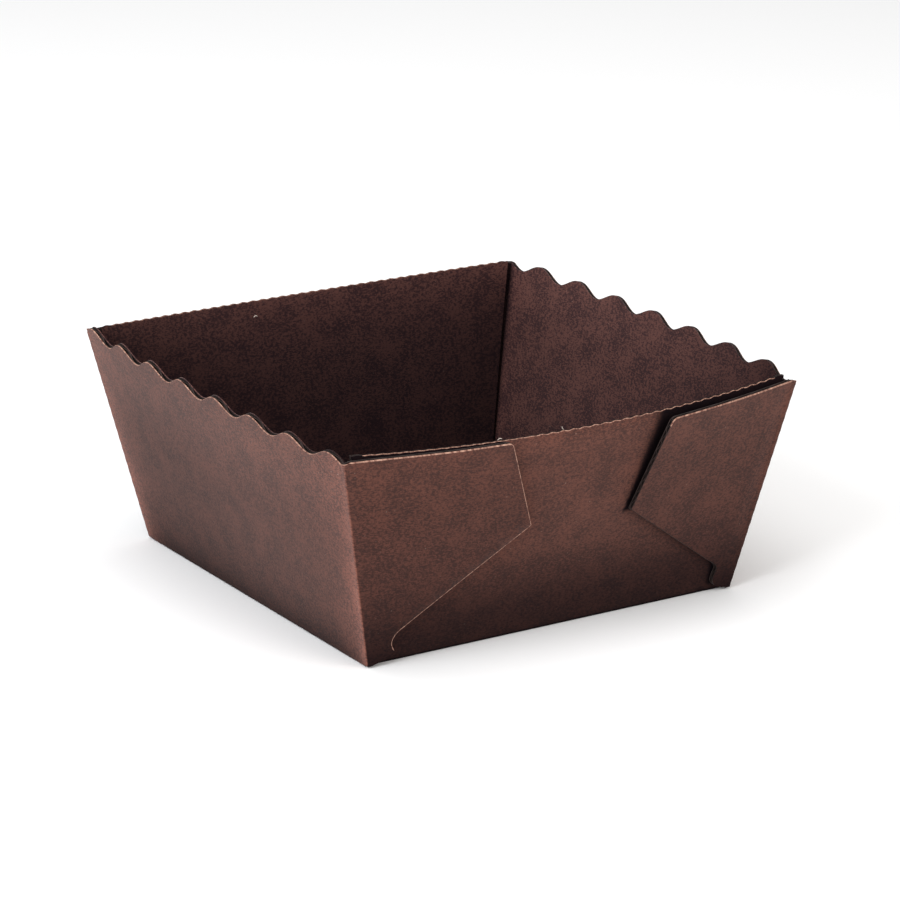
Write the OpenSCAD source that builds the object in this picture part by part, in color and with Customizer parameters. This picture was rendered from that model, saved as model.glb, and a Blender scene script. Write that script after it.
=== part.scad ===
// Folded baking mold of micro-flute board: one blank, four creased walls and four glued corner flaps.
// Origin under the middle of the base, +X along the front wall, +Y to the back, +Z up.

/* [Tray] */
// Height of the corners above the table
tray_h = 45; // [38:0.5:60]
// Outer width across the base, left to right
base_x = 84.6; // [76:0.2:92]
// Outer depth across the base, front to back, over the flaps
base_y = 87.6; // [78:0.2:94]
// Outer width across the top corners, left to right
top_x = 104; // [96:0.5:112]
// Outer depth across the top corners, front to back, over the flaps
top_y = 102.8; // [96:0.2:112]

/* [Bulge] */
// How far the front and back walls swell out at the middle of their rims
end_bow = 4; // [0:0.25:6]
// How far the side walls swell out at the middle of their rims
side_bow = 1.9; // [0:0.1:4]
// How far the rim of the front wall dips at its middle
front_dip = 1.75; // [0:0.05:3]
// How far the rim of the back wall dips at its middle
back_dip = 0.95; // [0:0.05:3]

/* [Board] */
// Thickness of the board
board_t = 1.15; // [1:0.05:1.4]
// Thickness of each of its two facings
liner_t = 0.2; // [0.15:0.01:0.25]
// Thickness of the wavy sheet between the facings, measured across the board
medium_t = 0.15; // [0.1:0.01:0.2]
// Distance from one flute to the next
flute_pitch = 2.4; // [2.2:0.1:3.2]
// Width of the glued foot of each flute
flute_foot = 0.3; // [0.2:0.05:0.5]
// Inner radius of every fold
fold_in_r = 0.25; // [0.2:0.05:0.6]

/* [Scallops] */
// Distance from one scallop to the next
scallop_pitch = 13.45; // [10:0.05:18]
// Height from the valleys to the crests
scallop_depth = 2.15; // [1:0.05:3]
// How far the crests stand above the corners
crest_rise = 0.3; // [0:0.05:1]
// Place of a crest on the left wall, from its middle
left_crest = 7.8; // [0:0.1:13.4]
// Place of a crest on the right wall, from its middle
right_crest = 12.8; // [0:0.1:13.4]

/* [Flaps] */
// Height of the flaps' sharp tips
flap_tip_z = 24.6; // [18:0.1:28]
// Distance of the tips from the middle of the wall
flap_tip_x = 9.7; // [8:0.1:20]
// Distance of the flaps' upper corners from the middle of the wall
flap_top_x = 17; // [12:0.1:26]
// How far the flaps' upper corners lie below the corners of the tray
flap_drop = 1.25; // [1:0.05:5]
// Radius of the flaps' upper corners
flap_corner_r = 1.4; // [0.5:0.1:3]
// Distance from the base corner to the relief notch, along the wall
notch_reach = 4.9; // [4:0.1:9]
// Height of the middle of the relief notch
notch_z = 4.7; // [4:0.1:7]
// Radius of the relief notch
notch_r = 1.9; // [1:0.1:2.2]
// Height of the flaps' lower edge at the base corner
toe_low = 0.3; // [0.1:0.1:1]
// Height of the little toe under the notch
toe_high = 2.7; // [2:0.1:3]
// Glue film between a flap and the wall behind it
glue_t = 0.12; // [0.1:0.01:0.3]
// Side of each square glue patch
glue_side = 7; // [4:0.5:10]
// Gap between the ends of the front and back walls and the side walls
end_gap = 0.3; // [0.2:0.05:0.8]

/* [Front right flap] */
// How far it stands off the wall at its top
flap_gape = 1.8; // [0:0.1:3]
// Height of its sharp tip
gape_tip_z = 23.9; // [18:0.1:28]
// Distance of its tip from the middle of the wall
gape_tip_x = 13; // [8:0.1:20]
// Distance of its upper corner from the middle of the wall
gape_top_x = 18.8; // [12:0.1:26]
// How far its upper corner lies below the corners of the tray
gape_drop = 1.95; // [1:0.05:5]

/* [Hidden] */

// Degrees from level to upright
upright = 90;
// Tip, upper corner and gape of the flaps that lie flat, and of the front right one
even_flap = [[flap_tip_x, flap_tip_z], [flap_top_x, tray_h - flap_drop], 0];
gaping_flap = [[gape_tip_x, gape_tip_z], [gape_top_x, tray_h - gape_drop], flap_gape];

// Lean of the walls from upright, midway between their corners and their middle
end_lean = atan(((top_y - base_y) / 2 + end_bow / 2) / tray_h);
side_lean = atan(((top_x - base_x) / 2 + side_bow / 2) / tray_h);
// Thickness of the leaning board, measured level
level_t = board_t / cos((end_lean + side_lean) / 2);
// Outer radius of the folds
fold_r = fold_in_r + board_t;
crease_r = fold_in_r + level_t;
// Turn of the flutes in the flaps, because they run straight on past a slanted crease
flute_turn = atan((top_y - base_y) / 2 / tray_h) + atan((top_x - base_x) / 2 / tray_h);
// How far the end walls lie inside the outer face of the flaps
wall_set = level_t + glue_t;
// Half widths of the end walls at their foot and rim, and of the base
foot_half = base_x / 2 - level_t - end_gap;
rim_half = top_x / 2 - level_t - end_gap;
base_half = base_x / 2 - level_t / 2;
// Middle of the base folds' curve, from the middle of the tray
end_fold = half_y(0) - wall_set - fold_r / tan((upright + end_lean) / 2);
side_fold = half_x(0) - fold_r / tan((upright + side_lean) / 2);
// Flat strips that a wall's curve, a side wall's height and a fold's curve are made of
wall_strips = 16;
side_strips = 4;
side_lifts = 4;
fold_steps = 3;
// Shares of an end wall's height at which its flat strips meet
wall_lifts = [0.5, 1];
// Last full strip of an end wall, beside its slanted edge
strip_half = foot_half - 1;
// Places along an end wall where a flap bends with it, and those where its flutes do
flap_stops = [6, 15, 24, 33, strip_half];
flute_stops = [6, 24, strip_half];
// Points that draw one scallop and one notch, and steps of a flap's rounded corner
scallop_points = 12;
notch_points = 40;
corner_steps = 5;
// Amount by which the rough board and the cutters pass the edges that are cut
past = 1.5;
// Share of the height that the rough board of the side walls reaches
tall = 1 + past / tray_h;
// Share of the height by which a flute passes the slanted edge of an end wall, and the lowest that it starts
flute_past = 0.2;
flute_start = 0.05;

// Width of a flute's hollow against its facing, halved, and the depths of its foot and its tip
hollow_half = (flute_pitch - flute_foot) / 2;
hollow_low = liner_t;
hollow_high = board_t - liner_t - medium_t;

function mix(a, b, share) = a + (b - a) * share;
function half_x(w) = mix(base_x, top_x, w) / 2;
function half_y(w) = mix(base_y, top_y, w) / 2;
function swell(u) = 1 - u * u;
function reversed(list) = [for (i = [len(list) - 1:-1:0]) list[i]];

// Swell of an end wall's rim: round over the foot's width, then straight down to its corners
function rim_swell(x) = abs(x) < foot_half
    ? swell(x / rim_half)
    : swell(foot_half / rim_half) * (rim_half - abs(x)) / (rim_half - foot_half);
// Outer face of a flap at x, for the height share w
function flap_y(x, w) = half_y(w) + end_bow * rim_swell(x) * w;

// A hollow's three corners, as [place across the flute, depth in the board], for either side of the wavy sheet
function hollow(inner) = inner
    ? [[-hollow_half, board_t - hollow_low], [0, board_t - hollow_high], [hollow_half, board_t - hollow_low]]
    : [[-hollow_half, hollow_low], [hollow_half, hollow_low], [0, hollow_high]];

// A tube joins each ring of points to the next and closes both ends. The two halves of its rings are split
// along opposite diagonals, so that the board's two faces bend alike.
function cap_faces(corners) =
    let (half = floor(corners / 2), odd = corners > 2 * half)
    concat(
        [for (k = [0:1:half - 2]) each [[k, k + 1, corners - 2 - k], [k, corners - 2 - k, corners - 1 - k]]],
        odd ? [[half - 1, half, half + 1]] : []
    );
function quad_faces(a, b, c, d, first_half) = first_half ? [[a, b, c], [a, c, d]] : [[a, b, d], [b, c, d]];
function tube_faces(rings, corners, start) = concat(
    [for (f = cap_faces(corners)) [for (k = [2, 1, 0]) start + f[k]]],
    [for (i = [0:rings - 2], k = [0:corners - 1])
        let (a = start + i * corners, c = a + corners, next = (k + 1) % corners)
        each quad_faces(a + k, a + next, c + next, c + k, k < corners / 2)],
    [for (f = cap_faces(corners)) [for (k = [0, 1, 2]) start + (rings - 1) * corners + f[k]]]
);
module tubes(bundle) {
    rings = len(bundle[0]);
    corners = len(bundle[0][0]);
    polyhedron(
        points = [for (tube = bundle, ring = tube) each ring],
        faces = [for (i = [0:len(bundle) - 1]) each tube_faces(rings, corners, i * rings * corners)]
    );
}

// The end board: front wall, base and back wall. way is -1 for the front and 1 for the back.
function fold_point(way, x, depth, turn) = [
    x,
    way * (end_fold + (fold_r - depth) * sin(turn)),
    fold_r - (fold_r - depth) * cos(turn)
];
function foot_point(way, x, depth) = fold_point(way, x, depth, upright - end_lean);
function rim_point(way, x, depth) =
    let (w = 1 - (way < 0 ? front_dip : back_dip) * swell(x / rim_half) / tray_h)
    [x, way * (flap_y(x, w) - wall_set - depth * cos(end_lean)), w * tray_h + depth * sin(end_lean)];
function strip_x(j, half) = j == 0
    ? -half
    : j == wall_strips ? half : mix(-strip_half, strip_half, (j - 1) / (wall_strips - 2));
function wall_point(way, j, depth, share) =
    mix(foot_point(way, strip_x(j, foot_half), depth), rim_point(way, strip_x(j, rim_half), depth), share);
function wall_ring(way, share) = concat(
    [for (j = [0:wall_strips]) wall_point(way, j, 0, share)],
    [for (j = [wall_strips:-1:0]) wall_point(way, j, board_t, share)]
);
function fold_ring(way, step) =
    let (half = step == 0 ? base_half : foot_half, turn = (upright - end_lean) * step / fold_steps)
    concat(
        [for (j = [0:wall_strips]) fold_point(way, strip_x(j, half), 0, turn)],
        [for (j = [wall_strips:-1:0]) fold_point(way, strip_x(j, half), board_t, turn)]
    );

// Flutes that run from rim to rim through the base
function base_flute(x, inner) = [
    for (way = [-1, 1], i = [0:2])
        let (stage = way < 0 ? i : 2 - i)
        [for (c = hollow(inner))
            stage == 0
                ? mix(foot_point(way, x + c[0], c[1]), rim_point(way, x + c[0], c[1]), tall)
                : fold_point(way, x + c[0], c[1], stage == 1 ? upright - end_lean : 0)]
];
// Flutes beside them, which start at the slanted edge of an end wall
function edge_flute(way, x, inner) =
    let (
        share = (abs(x) - foot_half) / (rim_half - foot_half),
        start = max(share - flute_past, flute_start),
        side = x < 0 ? -1 : 1
    )
    [for (at = way < 0 ? [tall, start] : [start, tall])
        [for (c = hollow(inner))
            let (
                edge = mix(foot_point(way, side * foot_half, c[1]), rim_point(way, side * rim_half, c[1]), share),
                rim = rim_point(way, x, c[1]),
                place = mix(edge, rim, (at - share) / (1 - share))
            )
            [x + c[0], place[1], place[2]]]];

flutes_each_way = floor(strip_half / flute_pitch);
edge_flutes = [for (i = [flutes_each_way + 1:floor((rim_half - hollow_half) / flute_pitch)]) i * flute_pitch];

module end_board() {
    difference() {
        tubes([concat(
            [for (share = reversed(wall_lifts)) wall_ring(-1, share)],
            [for (step = [fold_steps:-1:0]) fold_ring(-1, step)],
            [for (step = [0:fold_steps]) fold_ring(1, step)],
            [for (share = wall_lifts) wall_ring(1, share)]
        )]);
        tubes([for (i = [-flutes_each_way:flutes_each_way]) base_flute(i * flute_pitch, false)]);
        tubes([for (i = [-flutes_each_way:flutes_each_way - 1]) base_flute((i + 0.5) * flute_pitch, true)]);
        for (inner = [false, true])
            tubes([for (way = [-1, 1], side = [-1, 1], x = edge_flutes)
                edge_flute(way, side * (x - (inner ? flute_pitch / 2 : 0)), inner)]);
    }
}

// The right side board: a side wall and its two flaps, as upright columns.
// A column is [kind, way, value]: a flap at x, a crease at its turn, or the wall at its share of the half depth.
function gape_at(x, w, gape) = gape * w * (half_x(w) - crease_r - x) / (half_x(1) - crease_r - gape_top_x);
function column(col, w, depth, gape) =
    let (
        level = depth * level_t / board_t,
        open = col[1] < 0 ? gape_at(col[2], w, gape) : 0,
        place = col[0] == 0
            ? [col[2], col[1] * (flap_y(col[2], w) + open - level)]
            : col[0] == 1
            ? [
                half_x(w) - crease_r + (crease_r - level) * sin(col[2]),
                col[1] * (half_y(w) - crease_r + (crease_r - level) * cos(col[2]))
            ]
            : [half_x(w) + side_bow * w * swell(col[2]) - level, col[2] * (half_y(w) - crease_r)]
    )
    [place[0], place[1], w * tray_h];
function flap_columns(way, stops) = [for (x = stops) [0, way, x]];
function crease_columns(way, steps) = [for (i = [0:steps]) [1, way, upright * i / steps]];
function wall_columns() = [for (i = [1:side_strips - 1]) [2, 1, 2 * i / side_strips - 1]];
function all_columns(stops, steps) = concat(
    flap_columns(-1, stops), crease_columns(-1, steps), wall_columns(),
    reversed(crease_columns(1, steps)), reversed(flap_columns(1, stops))
);
function board_ring(col, gape) = concat(
    [for (i = [0:side_lifts]) column(col, tall * i / side_lifts, 0, gape)],
    [for (i = [side_lifts:-1:0]) column(col, tall * i / side_lifts, board_t, gape)]
);
// A flute keeps level along the wall and climbs towards the free edges of the flaps
function flute_ring(col, z, inner, gape) =
    let (
        climb = col[0] == 0 ? (half_x(z / tray_h) - crease_r - col[2]) * tan(flute_turn) : 0,
        narrow = cos(side_lean)
    )
    [for (c = hollow(inner)) column(col, (z + climb + c[0] * narrow) / tray_h, c[1], gape)];

flute_rise = flute_pitch * cos(side_lean);
first_flute = fold_r + flute_rise;
side_flutes = floor((tray_h - first_flute) / flute_rise);

// Height of a side wall's scalloped rim at y. The creases beside it are as high as its ends.
wall_half = half_y(1) - crease_r;
crest_z = tray_h + crest_rise;
function rim_z(crest, y) = crest_z - scallop_depth / 2 * (1 - cos(4 * upright * (y - crest) / scallop_pitch));

// The crests and valleys of a side wall's rim
module scallop_waste(crest) {
    outer = half_y(1) + end_bow + flap_gape + 2 * past;
    count = ceil(2 * wall_half * scallop_points / scallop_pitch);
    wave = [for (i = [0:count]) let (y = mix(-wall_half, wall_half, i / count)) [y, rim_z(crest, y)]];
    rotate([90, 0, 90])
        linear_extrude(top_x)
            polygon(concat(
                [[-outer, rim_z(crest, -wall_half)]], wave, [[outer, rim_z(crest, wall_half)]],
                [[outer, crest_z + 2 * past], [-outer, crest_z + 2 * past]]
            ));
}

// Points of a rounded corner at b, between a and c
function rounded(a, b, c, r) =
    let (
        u = (a - b) / norm(a - b),
        v = (c - b) / norm(c - b),
        half = acos(u * v) / 2,
        middle = b + (u + v) / norm(u + v) * r / sin(half),
        from = b + u * r / tan(half) - middle,
        to = b + v * r / tan(half) - middle
    )
    [for (i = [0:corner_steps]) let (p = mix(from, to, i / corner_steps)) middle + p / norm(p) * r];

// What is cut off around a flap. way is -1 for the front flap of a side board and 1 for its back flap.
module flap_waste(way, flap, crease_z) {
    tip = flap[0];
    corner = [half_x(1) - crease_r - past, crease_z];
    notch = [base_x / 2 - notch_reach - notch_r, notch_z];
    aim = atan2(notch[1] - tip[1], notch[0] - tip[0]) + asin(notch_r / norm(notch - tip));
    meet = tip + sqrt(pow(norm(notch - tip), 2) - notch_r * notch_r) * [cos(aim), sin(aim)];
    outer = half_y(1) + end_bow + flap_gape + 2 * past;
    high = crest_z + past;
    rotate([90, 0, 0])
        translate([0, 0, way < 0 ? 0 : -outer])
            linear_extrude(outer)
                difference() {
                    polygon([
                        [0, -past], [half_x(-past / tray_h) - crease_r, -past],
                        [half_x(tall) - crease_r, tray_h * tall], [half_x(tall) - crease_r, high], [0, high]
                    ]);
                    difference() {
                        polygon(concat(
                            [tip, meet, notch, [notch[0] + notch_r / 2, toe_high], [base_x / 2, toe_low]],
                            [[base_x, toe_low], [base_x, crease_z], corner],
                            rounded(corner, flap[1], tip, flap_corner_r)
                        ));
                        translate(notch) circle(r = notch_r, $fn = notch_points);
                    }
                }
}

module side_board(crest, front, back) {
    gape = front[2];
    difference() {
        tubes([[for (col = all_columns(flap_stops, fold_steps)) board_ring(col, gape)]]);
        scallop_waste(crest);
        flap_waste(-1, front, rim_z(crest, -wall_half));
        flap_waste(1, back, rim_z(crest, wall_half));
        for (inner = [false, true])
            tubes([for (i = [0:side_flutes])
                [for (col = all_columns(flute_stops, 1))
                    flute_ring(col, first_flute + (i + (inner ? 0.5 : 0)) * flute_rise, inner, gape)]]);
    }
}

// Glue between a flap and the wall behind it, sunk into a facing of each
module glue_patch(way, x, z, gape) {
    corners = [[-1, -1], [1, -1], [1, 1], [-1, 1]] * glue_side / 2;
    tubes([[for (into = [0, 1])
        [for (c = corners)
            let (
                w = (z + c[1]) / tray_h,
                flap = flap_y(x + c[0], w) - level_t + liner_t + (way < 0 ? gape_at(x + c[0], w, gape) : 0),
                wall = flap_y(x + c[0], w) - wall_set - liner_t
            )
            [x + c[0], way * (into == (way < 0 ? 0 : 1) ? flap : wall), z + c[1]]]]]);
}

// Rounds the outer edge of the fold between the base and the right side wall
module side_fold_waste() {
    outer = half_x(0) + past;
    last = upright - side_lean;
    rotate([90, 0, 0])
        linear_extrude(base_y + 2 * past, center = true)
            polygon(concat(
                [for (i = [0:fold_steps])
                    let (turn = last * i / fold_steps)
                    [side_fold + fold_r * sin(turn), fold_r - fold_r * cos(turn)]],
                [[outer, fold_r - fold_r * cos(last)], [outer, -past], [side_fold, -past]]
            ));
}

module half_tray(crest, front) {
    difference() {
        side_board(crest, front, even_flap);
        side_fold_waste();
    }
    glue_z = (flap_tip_z + notch_z) / 2;
    glue_x = (foot_half + flap_tip_x) / 2 + glue_side / 2;
    for (way = [-1, 1]) glue_patch(way, glue_x, glue_z, front[2]);
}

module mold() {
    color("#6b463c") {
        end_board();
        half_tray(right_crest, gaping_flap);
        mirror([1, 0, 0]) half_tray(left_crest, even_flap);
    }
}

mold();
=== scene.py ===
"""Looks of a folded baking mold of micro-flute board.

The board is drawn as what it is: two facings with a wavy sheet between them, cut, creased and folded into a
tray. Lengths are worked out in millimetres, as a box maker would, and turned to metres when a mesh is made.
"""
import math

import bmesh
import bpy
from mathutils import Matrix, Vector
from mathutils.geometry import delaunay_2d_cdt


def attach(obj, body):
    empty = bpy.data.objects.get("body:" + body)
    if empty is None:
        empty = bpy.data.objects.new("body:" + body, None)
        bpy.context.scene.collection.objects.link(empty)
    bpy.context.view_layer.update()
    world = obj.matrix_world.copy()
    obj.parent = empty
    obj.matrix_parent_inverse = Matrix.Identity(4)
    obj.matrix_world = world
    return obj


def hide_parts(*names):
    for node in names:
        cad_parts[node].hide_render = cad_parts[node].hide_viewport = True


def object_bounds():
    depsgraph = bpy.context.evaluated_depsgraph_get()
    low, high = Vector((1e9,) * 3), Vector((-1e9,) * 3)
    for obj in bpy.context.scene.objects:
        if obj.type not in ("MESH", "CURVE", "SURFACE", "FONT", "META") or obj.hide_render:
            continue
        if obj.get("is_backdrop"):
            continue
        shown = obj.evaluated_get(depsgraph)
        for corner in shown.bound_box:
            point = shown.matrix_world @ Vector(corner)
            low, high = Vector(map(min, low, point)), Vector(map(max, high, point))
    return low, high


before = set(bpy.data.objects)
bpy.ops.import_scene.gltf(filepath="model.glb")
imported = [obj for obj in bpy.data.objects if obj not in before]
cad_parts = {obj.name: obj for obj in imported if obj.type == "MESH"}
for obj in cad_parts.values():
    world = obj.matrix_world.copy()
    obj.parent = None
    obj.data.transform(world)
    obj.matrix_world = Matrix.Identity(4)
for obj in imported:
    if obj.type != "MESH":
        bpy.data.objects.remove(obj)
CAD_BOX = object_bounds()
CAD_LOW, CAD_HIGH = CAD_BOX[0].copy(), CAD_BOX[1].copy()

bl_info = {
    "name": "Baking mold",
    "version": (1, 0, 0),
    "blender": (4, 5, 0),
    "location": "3D View > Sidebar > Mold",
    "description": "Builds a folded baking mold of micro-flute board and its stage",
    "category": "Add Mesh",
}

MM = 0.001
# Differences that count as rounding, in millimetres
ROUNDING = 1e-6
# How much the wavy sheet's map is squeezed along its flutes
SQUEEZE = 8
# How far from a cut edge the wavy sheet is drawn, and how far the cut rims follow the flutes, in millimetres
BAND, RIM_WAVE = 5, 0.1
# How much of its thickness the board loses at a cut rim, and how quickly that dies away, in millimetres
CRUSH, CRUSH_REACH = 0.6, 1.2
# How sharply the board turns round a fold: at 2 its outside is round
SHARPNESS = 10
# Faces that meet at a smaller angle than this are shaded as one surface
SMOOTH_UNDER = math.radians(40)
# The board's materials in their order: its two faces, its cut edges, and what shows of its hollows, drawn dark as
# painted shade
OUTSIDE, INSIDE, CUT, HOLLOW = range(4)
# Each board has its own stretch of the sheet map, so that no two show the same clouds of dye
END_STRETCH, LEFT_STRETCH = 500, 1000


def length(name, text, default):
    """A length that the user may change, given in millimetres and kept in metres."""
    return bpy.props.FloatProperty(
        name=name, description=text, default=default * MM, min=0.0, max=0.2, precision=5,
        unit="LENGTH", subtype="DISTANCE",
    )


def linear(code):
    """An sRGB hex colour as linear red, green and blue."""
    parts = [int(code[i : i + 2], 16) / 255 for i in (1, 3, 5)]
    return tuple(c / 12.92 if c <= 0.04045 else ((c + 0.055) / 1.055) ** 2.4 for c in parts)


def colour(name, text, code):
    """A colour that the user may change, given as an sRGB hex value."""
    return bpy.props.FloatVectorProperty(
        name=name, description=text, default=linear(code), size=3, min=0.0, max=1.0, subtype="COLOR",
    )


class MoldSizes(bpy.types.PropertyGroup):
    """The tray's own sizes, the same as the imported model's."""

    tray_h: length("Height", "Height of the corners above the table", 45)
    base_x: length("Base width", "Outer width across the base", 84.6)
    base_y: length("Base depth", "Outer depth across the base, over the flaps", 87.6)
    top_x: length("Top width", "Outer width across the top corners", 104)
    top_y: length("Top depth", "Outer depth across the top corners, over the flaps", 102.8)
    end_bow: length("End bulge", "How far the front and back walls swell at the middle of their rims", 4)
    side_bow: length("Side bulge", "How far the side walls swell at the middle of their rims", 1.9)
    front_dip: length("Front dip", "How far the front rim dips at its middle", 1.75)
    back_dip: length("Back dip", "How far the back rim dips at its middle", 0.95)
    scallop_pitch: length("Scallop pitch", "Distance from one scallop to the next", 13.45)
    scallop_depth: length("Scallop depth", "Height from the valleys to the crests", 2.15)
    crest_rise: length("Crest rise", "How far the crests stand above the corners", 0.3)
    left_crest: length("Left crest", "Place of a crest on the left wall, from its middle", 7.8)
    right_crest: length("Right crest", "Place of a crest on the right wall, from its middle", 12.8)
    flap_gape: length("Flap gape", "How far the front right flap stands off the wall at its top", 1.8)
    end_gap: length("End gap", "Gap between the ends of the front and back walls and the side walls", 0.3)
    rim_gap: length("Rim gap", "The same gap at the rim, where the photo shows it wider", 1.3)


class BoardSizes(bpy.types.PropertyGroup):
    """The board that the tray is folded from."""

    board_t: length("Board", "Thickness of the board", 1.15)
    liner_t: length("Facing", "Thickness of each facing", 0.2)
    medium_t: length("Wavy sheet", "Thickness of the wavy sheet between the facings", 0.15)
    flute_pitch: length("Flute pitch", "Distance from one flute to the next", 2.4)
    fold_in_r: length("Fold radius", "Inner radius of every fold", 0.25)
    glue_t: length("Glue gap", "Gap between a flap and the wall behind it", 0.12)
    washboard: length("Washboard", "How far the facings show the flutes beside cut edges and creases", 0.04)
    lip: length("Pressed edge", "How far the cut presses back the face of a facing", 0.25)


class BoardColours(bpy.types.PropertyGroup):
    """Colours of the dyed board."""

    outer_light: colour("Outer light", "Lighter fibres of the outer facing", "#623a2f")
    outer_dark: colour("Outer dark", "Darker dye clouds of the outer facing", "#3e241e")
    inner_light: colour("Inner light", "Lighter fibres of the inner facing", "#664039")
    inner_dark: colour("Inner dark", "Darker dye clouds of the inner facing", "#391f20")
    # Painted shade: the deepest shade painted into the facings, at the foot, in the gaps and inside.
    deep_shade: colour("Deep shade", "Deepest dye, at the foot and in the gaps", "#0d0b0f")
    cut_edge: colour("Cut edge", "Undyed fibres in the cut edge", "#b48c79")
    fleck: colour("Fleck", "Pale stray fibres on the facings", "#a08c80")
    # Painted shade: the wavy sheet is drawn dark for the shade in the board's hollows.
    medium: colour("Wavy sheet", "The wavy sheet between the facings", "#2c1c18")
    loose_fibre: colour("Loose fibre", "Pulp fibres torn loose at the rims", "#ddd4cb")
    floor: colour("Floor", "Paper sweep under the mold", "#fbfbfb")


class Board:
    """The tray's sizes in millimetres, and the places of points on its folded board."""

    def __init__(self, sizes, board):
        for group in (sizes, board):
            for name in group.__annotations__:
                setattr(self, name, getattr(group, name) / MM)
        self.end_lean = math.atan(((self.top_y - self.base_y) / 2 + self.end_bow / 2) / self.tray_h)
        self.side_lean = math.atan(((self.top_x - self.base_x) / 2 + self.side_bow / 2) / self.tray_h)
        self.level_t = self.board_t / math.cos((self.end_lean + self.side_lean) / 2)
        self.fold_r = self.fold_in_r + self.board_t
        self.crease_r = self.fold_in_r + self.level_t
        self.crease_arc = math.pi / 2 * self.crease_r
        self.flute_turn = math.atan((self.top_y - self.base_y) / 2 / self.tray_h) + math.atan(
            (self.top_x - self.base_x) / 2 / self.tray_h
        )
        self.wall_set = self.level_t + self.glue_t
        self.foot_half = self.base_x / 2 - self.level_t - self.end_gap
        self.rim_half = self.top_x / 2 - self.level_t - self.end_gap
        self.rim_end = self.rim_half + self.end_gap - self.rim_gap
        self.wall_half = self.half_y(1) - self.crease_r
        self.side_fold_z = self.fold_r * (1 - math.sin(self.side_lean))
        self.side_fold_arc = self.fold_r * (math.pi / 2 - self.side_lean)
        self.end_fold = self.half_y(0) - self.wall_set - self.fold_r / math.tan((math.pi / 2 + self.end_lean) / 2)
        self.end_fold_arc = self.fold_r * (math.pi / 2 - self.end_lean)
        self.wave_reach = (self.board_t - 2 * self.liner_t - self.medium_t) / 2
        # Where the front right flap stands off by its full gape, from the middle of the wall
        self.flap_top_x = 18.0

    def half_x(self, w):
        return (self.base_x + (self.top_x - self.base_x) * w) / 2

    def half_y(self, w):
        return (self.base_y + (self.top_y - self.base_y) * w) / 2

    def sharp(self, turn, full):
        """How much farther out than its radius a fold lies, so that its outside is nearly an edge."""
        return (math.cos(turn) ** SHARPNESS + math.cos(full - turn) ** SHARPNESS) ** (-1 / SHARPNESS)

    def rim_swell(self, x):
        """Swell of an end wall's rim: round over the foot's width, then straight down to its corners."""
        edge = 1 - (self.foot_half / self.rim_half) ** 2
        if abs(x) < self.foot_half:
            return 1 - (x / self.rim_half) ** 2
        return edge * (self.rim_half - abs(x)) / (self.rim_half - self.foot_half)

    def flap_y(self, x, w):
        """Outer face of a flap."""
        return self.half_y(w) + self.end_bow * self.rim_swell(x) * w

    def gape_at(self, x, w, gape):
        """How far a flap that gapes stands off the wall."""
        reach = self.half_x(1) - self.crease_r - self.flap_top_x
        return gape * max(w, 0) ** 1.4 * (self.half_x(w) - self.crease_r - x) / reach

    # The side board unrolls onto a flat sheet: p runs along the front flap, crease, wall, crease and back flap,
    # and v climbs from the fold at the base to the rim.

    def flap_p(self, x, v):
        return self.wall_half + self.crease_arc + self.half_x(v / self.tray_h) - self.crease_r - x

    def side_point(self, p, v, depth, gape):
        """Place of a point of the right side board, depth into it from its outer face."""
        way, along = (-1 if p < 0 else 1), abs(p)
        w = v / self.tray_h
        level = depth * self.level_t / self.board_t
        if along > self.wall_half + self.crease_arc:
            x = self.half_x(w) - self.crease_r - (along - self.wall_half - self.crease_arc)
            open_by = self.gape_at(x, w, gape) if way < 0 else 0
            return Vector((x, way * (self.flap_y(x, w) + open_by - level), v))
        if along > self.wall_half + ROUNDING:
            turn = math.pi / 2 * (1 - (along - self.wall_half) / self.crease_arc)
            r = (self.crease_r - level) * self.sharp(turn, math.pi / 2)
            return Vector((
                self.half_x(w) - self.crease_r + r * math.sin(turn),
                way * (self.half_y(w) - self.crease_r + r * math.cos(turn)),
                v,
            ))
        u = p / self.wall_half
        swell = self.side_bow * (1 - u * u)
        lean = math.atan((self.half_x(1) - self.half_x(0) + swell) / self.tray_h)
        if v >= self.side_fold_z:
            low = self.fold_r * (1 - math.sin(lean))
            z = low + (v - self.side_fold_z) * (self.tray_h - low) / (self.tray_h - self.side_fold_z)
            w = z / self.tray_h
            return Vector((
                self.half_x(w) + swell * w - depth * math.cos(lean),
                u * (self.half_y(w) - self.crease_r),
                z + depth * math.sin(lean),
            ))
        turn = (math.pi / 2 - lean) * (1 - (self.side_fold_z - v) / self.side_fold_arc)
        middle = self.half_x(0) - self.fold_r / math.tan((math.pi / 2 + lean) / 2)
        r = (self.fold_r - depth) * self.sharp(turn, math.pi / 2 - lean)
        return Vector((
            middle + r * math.sin(turn), u * (self.half_y(0) - self.crease_r), self.fold_r - r * math.cos(turn),
        ))

    def side_climb(self, p):
        """How far the flutes of the side board have climbed at p: they are level on the wall and slant in a flap."""
        return max(abs(p) - self.wall_half - self.crease_arc, 0) * math.tan(self.flute_turn)

    def side_flute(self, p, v):
        """How far up the flutes a point of the side board lies."""
        return v - self.side_climb(p)

    def wave_depth(self, across):
        """Depth of the wavy sheet's middle, for a place across the flutes."""
        return self.board_t / 2 + self.wave_reach * math.cos(2 * math.pi * across / self.flute_pitch)

    def crease_bulge(self, p, v):
        """How far the flutes' ends push out the outer facing along a crease."""
        across = (abs(p) - self.wall_half) / self.crease_arc
        if not 0 < across < 1:
            return 0
        return self.washboard / 2 * math.sin(math.pi * across) ** 2 * math.cos(2 * math.pi * v / self.flute_pitch)

    # The end board unrolls along its middle: q is 0 at the middle of the base and grows over a fold and up a wall.

    def foot_point(self, way, x, depth, turn):
        r = (self.fold_r - depth) * self.sharp(turn, math.pi / 2 - self.end_lean)
        return Vector((x, way * (self.end_fold + r * math.sin(turn)), self.fold_r - r * math.cos(turn)))

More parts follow.
